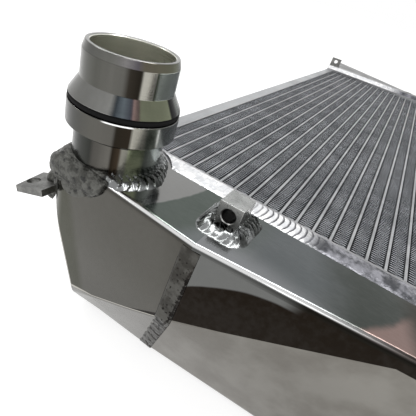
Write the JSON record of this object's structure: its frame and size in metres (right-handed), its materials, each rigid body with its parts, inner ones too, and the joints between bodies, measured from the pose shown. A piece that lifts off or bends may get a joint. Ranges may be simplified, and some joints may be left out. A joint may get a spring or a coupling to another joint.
{
  "type": "radiator",
  "caption": "Flat tube radiator with corrugated air fins, two tapered welded sheet tanks, turned hose necks with seal rings, a threaded block, a corner tab and a small bracket.",
  "frame": {"origin": "middle of the footprint, at the bottom of the part", "axes": "+Y from the inlet tank to the outlet tank, along the tubes; +Z out of the air face, along the inlet neck"},
  "size_m": [0.4358, 0.8149, 0.1704],
  "materials": {
    "sheet": "satin",
    "polished_sheet": "polished",
    "core_metal": "satin",
    "fin_metal": "satin",
    "turned_metal": "fine turned, satin",
    "ground_weld": "ground",
    "weld_metal": "bright, rippled",
    "rough_weld": "rough, pitted",
    "seal_rubber": "matt"
  },
  "bodies": {
    "root": {"near_row_tubes": "core_metal", "far_row_tubes": "core_metal", "fins": "fin_metal", "left_side_plate": "core_metal", "right_side_plate": "core_metal", "near_header": "core_metal", "far_header": "core_metal", "inlet_tank": "sheet", "near_taper_tank": "polished_sheet", "near_tank_cap": "sheet", "outlet_tank": "sheet", "far_taper_tank": "sheet", "far_tank_cap": "sheet", "near_seam_weld": "ground_weld", "far_seam_weld": "ground_weld", "near_header_weld": "weld_metal", "far_header_weld": "weld_metal", "inlet_neck": "turned_metal", "inlet_seal": "seal_rubber", "inlet_neck_weld": "rough_weld", "outlet_neck": "turned_metal", "outlet_seal": "seal_rubber", "outlet_neck_weld": "rough_weld", "threaded_block": "turned_metal", "block_weld": "weld_metal", "corner_tab": "sheet", "tab_weld": "weld_metal", "standing_bracket": "sheet", "bracket_weld": "weld_metal"}
  },
  "joints": []
}
